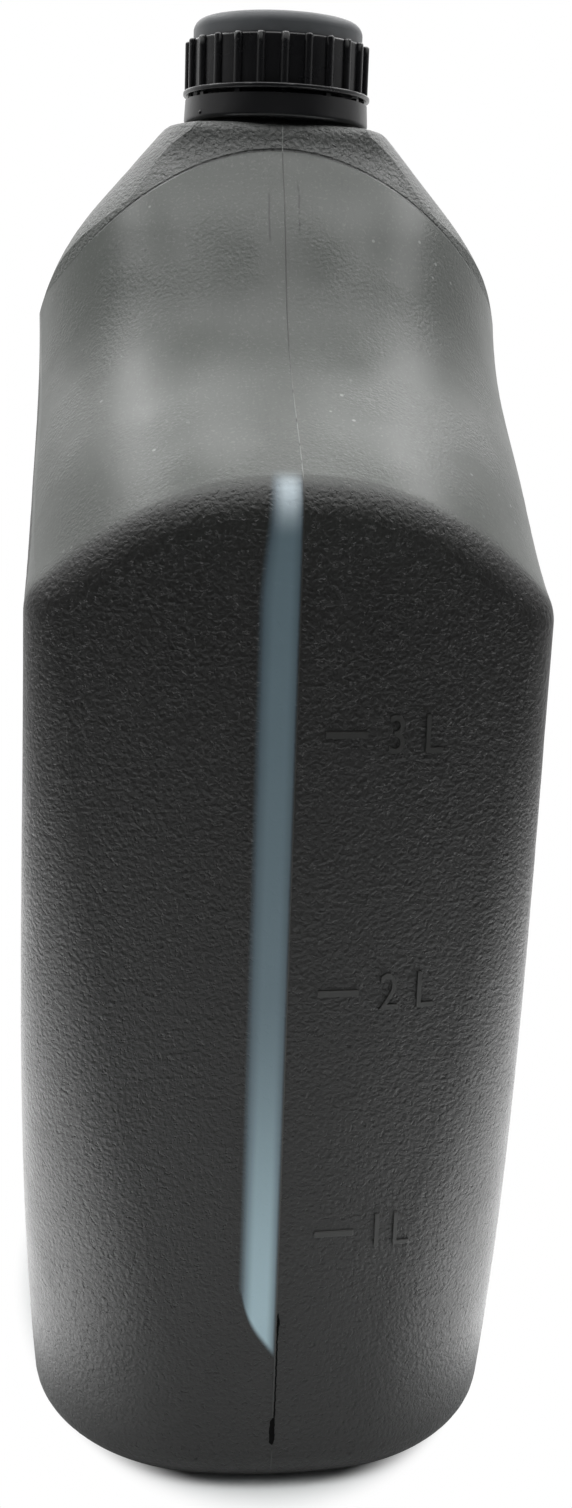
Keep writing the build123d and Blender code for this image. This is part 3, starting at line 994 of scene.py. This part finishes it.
def lamps():
    """Light tent: slanting boxes and a glow off the table on each side, boxes above and behind."""
    for side, name in ((-1, "left"), (1, "right")):
        for kind, (place, size, power) in (("strip_box", STRIP_BOX), ("fill_box", FILL_BOX)):
            x, y, z = place
            box = area_light(f"{name}_{kind}", (side * x, y, z), size, power)
            box.rotation_euler = (0, 0, side * SIDE_BOX_TURN)
        (x, y, z), size, power = TABLE_GLOW
        area_light(f"{name}_table_glow", (side * x, y, z), size, power, aim=(side * x, y, z + 1))
    area_light("top_box", *TOP_BOX)
    area_light("top_back_box", *TOP_BACK_BOX, aim=LAMP_AIM)
    area_light("back_box", *BACK_BOX, aim=LAMP_AIM)


def shown_backdrop(tree, path, behind):
    """1 for camera rays, and for glossy and transmission rays that go behind the object."""
    either = math_node(tree, "MAXIMUM", path.outputs["Is Glossy Ray"], path.outputs["Is Transmission Ray"])
    limited = math_node(tree, "MULTIPLY", either, behind)
    return math_node(tree, "MAXIMUM", path.outputs["Is Camera Ray"], limited)


def surround():
    """World that lights the bottle softly, and the white backdrop that is seen behind it."""
    world = bpy.data.worlds.new("surround")
    world.use_nodes = True
    tree = world.node_tree
    tree.nodes.clear()
    path = tree.nodes.new("ShaderNodeLightPath")
    place = tree.nodes.new("ShaderNodeTexCoord")
    split = tree.nodes.new("ShaderNodeSeparateXYZ")
    tree.links.new(place.outputs["Generated"], split.inputs[0])
    _, back, rise = split.outputs
    behind = ramp(tree, back, FRONT_ENDS, BACK_STARTS, FRONT_SURROUND, BACK_SURROUND)
    raised = ramp(tree, rise, HORIZON_LOW, HORIZON_HIGH, HORIZON_SHARE, 1.0)
    backdrop = ramp(tree, back, BACKDROP_STARTS, BACKDROP_FULL)
    soft = tree.nodes.new("ShaderNodeBackground")
    link(tree, math_node(tree, "MULTIPLY", behind, raised), soft.inputs["Strength"])
    white = tree.nodes.new("ShaderNodeBackground")
    white.inputs["Strength"].default_value = 1.0
    for light in (soft, white):
        light.inputs["Color"].default_value = WHITE
    mix = tree.nodes.new("ShaderNodeMixShader")
    out = tree.nodes.new("ShaderNodeOutputWorld")
    tree.links.new(shown_backdrop(tree, path, backdrop), mix.inputs[0])
    tree.links.new(soft.outputs[0], mix.inputs[1])
    tree.links.new(white.outputs[0], mix.inputs[2])
    tree.links.new(mix.outputs[0], out.inputs[0])
    scene.world = world


def floor():
    """Pale round floor that fades into the white backdrop."""
    mesh = bpy.data.meshes.new("floor")
    build = bmesh.new()
    bmesh.ops.create_circle(build, cap_ends=True, segments=FLOOR_SEGMENTS, radius=FLOOR_RADIUS)
    build.to_mesh(mesh)
    build.free()
    piece = bpy.data.objects.new("floor", mesh)
    piece.location.z = -FLOOR_DROP
    scene.collection.objects.link(piece)
    material = bpy.data.materials.new("pale_floor")
    material.use_nodes = True
    tree = material.node_tree
    shader = tree.nodes["Principled BSDF"]
    shader.inputs["Base Color"].default_value = FLOOR_COLOUR
    shader.inputs["Roughness"].default_value = FLOOR_ROUGHNESS
    place = tree.nodes.new("ShaderNodeTexCoord")
    spread = tree.nodes.new("ShaderNodeMapping")
    spread.inputs["Scale"].default_value = (1 / HALF_WIDTH, 1 / -FRONT_Y, 1.0)
    tree.links.new(place.outputs["Object"], spread.inputs["Vector"])
    length = tree.nodes.new("ShaderNodeVectorMath")
    length.operation = "LENGTH"
    tree.links.new(spread.outputs[0], length.inputs[0])
    far = ramp(tree, length.outputs["Value"], FLOOR_WHITE_FROM, FLOOR_WHITE_FULL)
    path = tree.nodes.new("ShaderNodeLightPath")
    split = tree.nodes.new("ShaderNodeSeparateXYZ")
    tree.links.new(place.outputs["Object"], split.inputs[0])
    behind = ramp(tree, split.outputs["Y"], FLOOR_BACK_FROM, 0.0)
    seen = math_node(tree, "MULTIPLY", shown_backdrop(tree, path, behind), far)
    white = tree.nodes.new("ShaderNodeEmission")
    white.inputs["Strength"].default_value = 1.0
    mix = tree.nodes.new("ShaderNodeMixShader")
    tree.links.new(seen, mix.inputs[0])
    tree.links.new(shader.outputs[0], mix.inputs[1])
    tree.links.new(white.outputs[0], mix.inputs[2])
    tree.links.new(mix.outputs[0], tree.nodes["Material Output"].inputs[0])
    mesh.materials.append(material)


raised_plastic = mark_material()
assign("bottle_body", body_material())
assign("cap", cap_material("cap_polypropylene", CAP_ROUGHNESS))
band_plastic = cap_material("band_polypropylene", BAND_ROUGHNESS)
assign("tamper_band", band_plastic)
assign("cap_liner", liner_material())
wall = body_surface()
parting_seam(raised_plastic, wall)
graduations(raised_plastic, wall)
pinch_mark(pinch_material(), wall)
neck_thread(raised_plastic)
band_nub(band_plastic)
camera()
lamps()
surround()
floor()
scene.view_settings.view_transform = "Standard"
